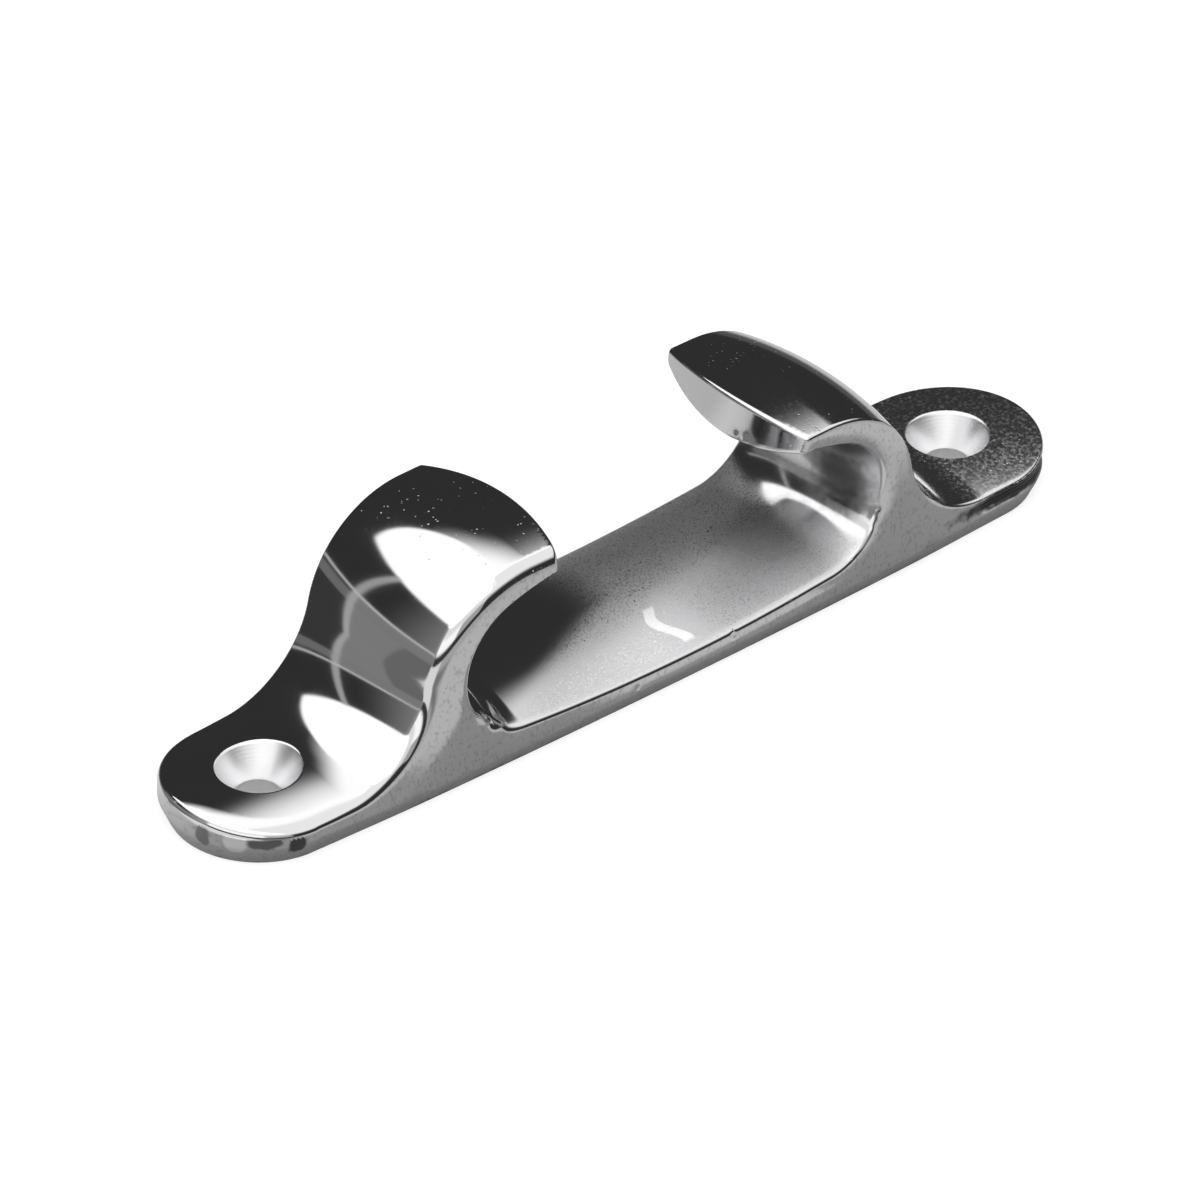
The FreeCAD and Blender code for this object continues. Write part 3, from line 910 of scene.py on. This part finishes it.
@dataclass
class Casting:
    """The fairlead itself: a smooth copy of the CAD solid with the exact normals of its form.

    merge_distance and sliver_width are in metres, and the other lengths in millimetres.
    """

    form: FairleadForm = field(default_factory=lambda: FairleadForm(FormSizes()))
    effects: Effects = field(default_factory=Effects)
    merge_distance: float = 0.00003
    sliver_width: float = 0.00006
    longest_edge: float = 1.6
    edge_step: float = 0.58
    edge_reach: float = 4.0
    split_rounds: int = 6
    settle_rounds: int = 5
    settle_reach: float = 0.7
    least_slope: float = 0.05
    zone_margin: float = 0.06
    inward_share: float = 0.02

    def build(self, node: Object) -> Object:
        """Copies the CAD node, settles the copy on the closer form and dresses it.

        Args:
            node: the CAD node's object.

        Returns:
            The casting that is shown.
        """
        mesh = bpy.data.meshes.new("casting")
        work = bmesh.new()
        work.from_mesh(node.data)
        bmesh.ops.remove_doubles(work, verts=work.verts, dist=self.merge_distance)
        self.split_long_edges(work)
        for face in work.faces:
            face.smooth = True
        work.to_mesh(mesh)
        work.free()
        self.settle(mesh)
        self.mend_slivers(mesh)
        self.set_normals(mesh)
        piece = bpy.data.objects.new("casting", mesh)
        bpy.context.scene.collection.objects.link(piece)
        for zone in Zone:
            mesh.materials.append(FINISHES[zone].material(self.effects))
        self.share_finishes(mesh)
        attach(piece, BODY)
        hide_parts(NODE)
        return piece

    @staticmethod
    def triangulate(work: bmesh.types.BMesh) -> None:
        """Cuts faces with more than three corners into triangles."""
        bmesh.ops.triangulate(work, faces=[face for face in work.faces if len(face.verts) > TRIANGLE])

    def split_long_edges(self, work: bmesh.types.BMesh) -> None:
        """Halves long edges, most of all near the rounded rims, until the faces can follow the form closely.

        Args:
            work: the casting's bmesh.
        """
        for _ in range(self.split_rounds):
            edges = list(work.edges)
            middles = np.array([(edge.verts[0].co + edge.verts[1].co) / 2 for edge in edges]) / MM
            lengths = np.array([edge.calc_length() for edge in edges]) / MM
            second_face = np.sort(self.form.solve(middles)[1], axis=0)[-2]
            limit = np.where(second_face > -self.edge_reach, self.edge_step, self.longest_edge)
            long = [edges[index] for index in np.nonzero(lengths > limit)[0]]
            if not long:
                break
            bmesh.ops.subdivide_edges(work, edges=long, cuts=1, use_grid_fill=False)
            self.triangulate(work)

    @staticmethod
    def gather(items: bpy_prop_collection, name: str) -> Array:
        """Reads one place from each vertex or face.

        Args:
            items: a mesh's vertices or faces.
            name: co or center.

        Returns:
            The places in millimetres, a row for each.
        """
        places = np.empty(len(items) * 3, np.float32)
        items.foreach_get(name, places)
        return places.reshape(-1, 3).astype(float) / MM

    def settle(self, mesh: Mesh) -> None:
        """Moves each vertex along the form's slope until it lies on the form's skin.

        Args:
            mesh: the casting's mesh.
        """
        points = self.gather(mesh.vertices, "co")
        for _ in range(self.settle_rounds):
            slope = self.form.slope(points)
            off = self.form.solve(points)[0] / np.maximum((slope ** 2).sum(axis=1), self.least_slope)
            points -= slope * np.clip(off, -self.settle_reach, self.settle_reach)[:, None]
        mesh.vertices.foreach_set("co", (points * MM).astype(np.float32).ravel())
        mesh.update()

    def mend_slivers(self, mesh: Mesh) -> None:
        """Closes up faces so thin that they fold over at a rounded edge.

        Args:
            mesh: the casting's mesh.
        """
        work = bmesh.new()
        work.from_mesh(mesh)
        bmesh.ops.remove_doubles(work, verts=work.verts, dist=self.sliver_width)
        bmesh.ops.dissolve_degenerate(work, edges=work.edges, dist=self.sliver_width)
        self.triangulate(work)
        work.to_mesh(mesh)
        work.free()
        mesh.update()

    def set_normals(self, mesh: Mesh) -> None:
        """Gives each face corner the form's own normal there, so that reflections run smoothly.

        Args:
            mesh: the casting's mesh.
        """
        points, centres = self.gather(mesh.vertices, "co"), self.gather(mesh.polygons, "center")
        corner = np.empty(len(mesh.loops), np.int32)
        mesh.loops.foreach_get("vertex_index", corner)
        totals = np.empty(len(mesh.polygons), np.int32)
        mesh.polygons.foreach_get("loop_total", totals)
        inward = centres[np.repeat(np.arange(len(totals)), totals)] - points[corner]
        normals = self.form.normals(points[corner] + inward * self.inward_share)
        mesh.normals_split_custom_set([tuple(normal) for normal in normals])

    def share_finishes(self, mesh: Mesh) -> None:
        """Gives each face the finish of its zone."""
        zones = self.form.zones(self.gather(mesh.polygons, "center"), self.zone_margin)
        mesh.polygons.foreach_set("material_index", zones.astype(np.int32))


@dataclass(frozen=True)
class CameraView:
    """The photograph's camera, in degrees, millimetres and pixels of the 1200 by 1200 frame."""

    azimuth: float = -41.874
    elevation: float = 34.728
    roll: float = 1.47
    distance: float = 1200.03
    focal: float = 10517.3
    centre: tuple[float, float] = (611.88, 566.98)
    frame: float = 1200.0
    sensor: float = 36.0
    target_height: float = 10.0
    nearest: float = 50.0
    farthest: float = 20000.0

    def make(self) -> Object:
        """Makes the camera and sets it as the scene's own.

        Returns:
            The camera object.
        """
        a, e, r = (math.radians(angle) for angle in (self.azimuth, self.elevation, self.roll))
        back = Vector((math.sin(a) * math.cos(e), -math.cos(a) * math.cos(e), math.sin(e)))
        right = Vector((math.cos(a), math.sin(a), 0.0))
        up = back.cross(right)
        across = math.cos(r) * right + math.sin(r) * up
        rise = math.cos(r) * up - math.sin(r) * right
        data = bpy.data.cameras.new("camera")
        data.sensor_width = self.sensor
        data.lens = self.focal / self.frame * self.sensor
        data.shift_x = -(self.centre[0] - self.frame / 2) / self.frame
        data.shift_y = (self.centre[1] - self.frame / 2) / self.frame
        data.clip_start, data.clip_end = self.nearest * MM, self.farthest * MM
        camera = bpy.data.objects.new("camera", data)
        place = Vector((0.0, 0.0, self.target_height)) + back * self.distance
        turn = Matrix((across, rise, back)).transposed().to_4x4()
        camera.matrix_world = Matrix.Translation(place * MM) @ turn
        bpy.context.scene.collection.objects.link(camera)
        bpy.context.scene.camera = camera
        return camera


@dataclass(frozen=True)
class Edge:
    """One soft straight edge in the sky: bright where around * bearing + up * elevation passes start."""

    around: float
    up: float
    start: float
    soft: float


@dataclass(frozen=True)
class Layer:
    """A patch of the studio seen in the metal, kept inside all its edges; bearings run from +Y towards +X."""

    name: str
    light: float
    edges: tuple[Edge, ...]


def band(low: float, high: float, soft: float) -> tuple[Edge, Edge]:
    """Edges that keep a layer between two bearings."""
    return Edge(1, 0, low, soft), Edge(-1, 0, -high, soft)


def strip(low: float, high: float, soft: float) -> tuple[Edge, Edge]:
    """Edges that keep a layer between two elevations."""
    return Edge(0, 1, low, soft), Edge(0, -1, -high, soft)


SKY_LAYERS = (
    Layer("room", 0.038, ()),
    Layer("right_glow", 1.5, (Edge(1, 1, 104, 40), Edge(0, 1, 47.5, 9))),
    Layer("ceiling", 1.5, (Edge(0, 1, 57, 18),)),
    Layer("left_haze", 0.5, (Edge(-1, 0, 72, 44), *strip(8, 36, 2))),
    Layer("front_screen", 1.2, (Edge(1, 0, 88, 20), Edge(0, 1, 24, 14))),
    Layer("front_left_screen", 1.05, (Edge(-1, 0, 88, 10), Edge(0, 1, 22, 8))),
    Layer("left_low_screen", 1.4, (*band(-152, -89, 6), *strip(9, 24, 6))),
    Layer("left_wall", 0.27, (*band(-90, -44.5, 1), *strip(-30, 9, 2))),
    Layer("left_wall_end", 0.2, (*band(-43, -22, 2), *strip(-30, 5.5, 2))),
    Layer("key_screen", 1.6, (Edge(0, 1, 34.5, 2), Edge(-0.6, 1, 45.8, 2), Edge(-1, 0, -20, 12))),
    Layer("screen_post", 0.5, (*band(-44.5, -41.5, 1), *strip(-30, 35, 2))),
    Layer("screen_rail", 0.7, (*band(-84, -18, 3), *strip(7.2, 8.6, 0.8))),
)


class Sky(Bench):
    """Paints the layers of the studio on the world's directions."""

    def __init__(self, tree: NodeTree) -> None:
        """Prepares bearing and elevation, in degrees.

        Args:
            tree: the world's node tree.
        """
        super().__init__(tree)
        x, y, z = self.split(self.add("ShaderNodeTexCoord").outputs["Generated"])
        bearing, rise = self.maths("ARCTAN2", x, y), self.maths("ARCSINE", z)
        values = {"X": self.maths("DEGREES", bearing), "Y": self.maths("DEGREES", rise)}
        self.place = self.add("ShaderNodeCombineXYZ", values).outputs["Vector"]

    def inside(self, edge: Edge) -> Socket:
        """Mask that turns from 0 to 1 across one soft edge."""
        dot = self.add("ShaderNodeVectorMath", {0: self.place, 1: (edge.around, edge.up, 0.0)}, operation="DOT_PRODUCT")
        return self.ramp(dot.outputs["Value"], Step(edge.start - edge.soft / 2, edge.start + edge.soft / 2))

    def paint(self, layers: tuple[Layer, ...]) -> Value:
        """Lays the layers over each other, the first one lowest.

        Args:
            layers: the patches of light and dark.

        Returns:
            The light from each direction.
        """
        light: Value = layers[0].light
        for layer in layers[1:]:
            cover = self.times(*(self.inside(edge) for edge in layer.edges))
            light = self.mix(cover, light, layer.light)
            light.node.label = layer.name
        return light


@dataclass(frozen=True)
class PaintedPaper:
    """Painted light and shade on the floor's paper, which only the metal's reflections show: a painted shadow close in
    front of the part, painted light behind it, and the studio's screen and post painted where the left horn reflects
    them; places are in metres and turns in degrees.
    """

    # painted brightness of the paper: painted shade near the part and far off, painted light behind it, painted
    # reflections of the screen and post
    near: float = 0.36
    behind: float = 0.85
    middle: float = 0.62
    left: float = 0.24
    strip: float = 0.7
    front: float = 0.5
    far: float = 0.1
    side: float = 0.18
    screen: float = 0.27
    post: float = 0.5
    dark: float = 0.05
    bright: float = 0.95
    half_length: float = 0.05
    to_behind: Step = Step(-0.01, 0.02)
    to_middle: Step = Step(-0.068, -0.045)
    leaving: Step = Step(0.023, 0.033)
    strip_along: tuple[Step, Step] = (Step(-0.01, 0.0), Step(0.031, 0.027))
    strip_across: tuple[Step, Step] = (Step(-0.028, -0.026), Step(-0.018, -0.02))
    to_back: Step = Step(-0.03, -0.005)
    fading: Step = Step(0.06, 0.15)
    horn_x: float = 0.037
    post_lean: float = 0.2
    screen_edge: Step = Step(-64.0, -62.0)
    post_edge: Step = Step(-45.0, -44.0)
    dark_edge: Step = Step(-42.0, -41.0)
    screen_turn: tuple[Step, Step] = (Step(-80.0, -76.0), Step(-16.0, -20.0))
    screen_start: Step = Step(0.03, 0.036)
    bright_turn: tuple[Step, Step] = (Step(-79.0, -83.0), Step(-140.0, -130.0))
    bright_start: Step = Step(0.034, 0.04)

    def tone(self, on: Surface) -> Value:
        """Works out the painted brightness by place: painted shade close in front of the part and to its left, painted
        light behind it and in a strip in front on the right; it falls off away from the part.

        Args:
            on: the floor's material.

        Returns:
            The painted brightness.
        """
        past = on.maths("MAXIMUM", on.maths("SUBTRACT", on.maths("ABSOLUTE", on.x), self.half_length), 0.0)
        away = on.length(past, on.y)
        close = on.mix(on.ramp(on.y, self.to_behind), self.near, self.behind)
        middle = on.mix(on.ramp(on.x, self.to_middle), self.left, self.middle)
        near = on.mix(on.ramp(away, self.leaving), close, middle)
        on_strip = on.times(on.within(on.x, self.strip_along), on.within(on.y, self.strip_across))
        near = on.mix(on_strip, near, self.strip)
        far = on.mix(on.ramp(on.y, self.to_back), self.front, self.far)
        return self.left_painted_reflections(on, on.mix(on.ramp(away, self.fading), near, far))

    def left_painted_reflections(self, on: Surface, tone: Value) -> Value:
        """Lays the painted reflections that the left horn shows over the rest of the paper.

        They are painted grey left of the screen's post, dark right of the post, and bright towards the front.

        Args:
            on: the floor's material.
            tone: painted brightness of the rest.

        Returns:
            The painted brightness everywhere.
        """
        across = on.plus(on.x, self.horn_x)
        away = on.length(across, on.y)
        turned = on.maths("DEGREES", on.maths("ARCTAN2", across, on.y))
        turned = on.maths("SUBTRACT", turned, on.maths("DIVIDE", self.post_lean, away))
        grey: Value = self.side
        for edge, shade in ((self.screen_edge, self.screen), (self.post_edge, self.post), (self.dark_edge, self.dark)):
            grey = on.mix(on.ramp(turned, edge), grey, shade)
        by_screen = on.times(on.within(turned, self.screen_turn), on.ramp(away, self.screen_start))
        in_front = on.times(on.within(turned, self.bright_turn), on.ramp(away, self.bright_start))
        return on.mix(in_front, on.mix(by_screen, tone, grey), self.bright)


@dataclass(frozen=True)
class Studio:
    """White floor, with painted light and shade that only the metal's reflections show, and a world with soft white
    lights round a darker room.
    """

    painted_paper: PaintedPaper = PaintedPaper()
    floor_size: float = 4.0
    floor_rough: float = 0.9
    camera_white: float = 0.65
    camera_paper: float = 0.5

    def floor_white(self) -> Material:
        """Makes the paper's material, which the camera itself sees as plain white and the metal's reflections see with
        its painted light and shade.

        Returns:
            A matt material.
        """
        on = Surface("floor_white")
        camera = on.add("ShaderNodeLightPath").outputs["Is Camera Ray"]
        on.put(on.shader["Roughness"], self.floor_rough)
        on.put(on.shader["Specular IOR Level"], 0.0)
        on.put(on.shader["Emission Color"], (1.0, 1.0, 1.0, 1.0))
        # reflections see the paper's painted light and shade as its colour; the camera sees plain white
        on.put(on.shader["Base Color"], on.mix(camera, self.painted_paper.tone(on), self.camera_paper))
        on.put(on.shader["Emission Strength"], on.times(camera, self.camera_white))
        return on.made

    def floor(self) -> Object:
        """Makes the floor that the object stands on.

        Returns:
            The floor.
        """
        mesh = bpy.data.meshes.new("floor")
        work = bmesh.new()
        bmesh.ops.create_grid(work, x_segments=1, y_segments=1, size=self.floor_size / 2)
        work.to_mesh(mesh)
        work.free()
        mesh.materials.append(self.floor_white())
        piece = bpy.data.objects.new("floor", mesh)
        bpy.context.scene.collection.objects.link(piece)
        return piece

    def world(self) -> World:
        """Makes the world's light, which the camera itself sees as plain white.

        Returns:
            The world.
        """
        world = bpy.data.worlds.new("studio")
        bpy.context.scene.world = world
        world.use_nodes = True
        sky = Sky(world.node_tree)
        camera = sky.add("ShaderNodeLightPath").outputs["Is Camera Ray"]
        shown = sky.mix(camera, sky.paint(SKY_LAYERS), 1.0)
        sky.put(world.node_tree.nodes["Background"].inputs["Color"], shown)
        return world


def main() -> None:
    """Builds the scene: camera, studio and the casting."""
    logging.basicConfig(level=logging.INFO, format="%(name)s: %(message)s")
    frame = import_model()
    CameraView().make()
    studio = Studio()
    studio.world()
    for piece in (studio.floor(), Casting().build(frame["nodes"][NODE])):
        LOG.info("%s: %d faces", piece.name, len(piece.data.polygons))
    bpy.context.scene.view_settings.view_transform = "Standard"


if __name__ == "__main__":
    main()
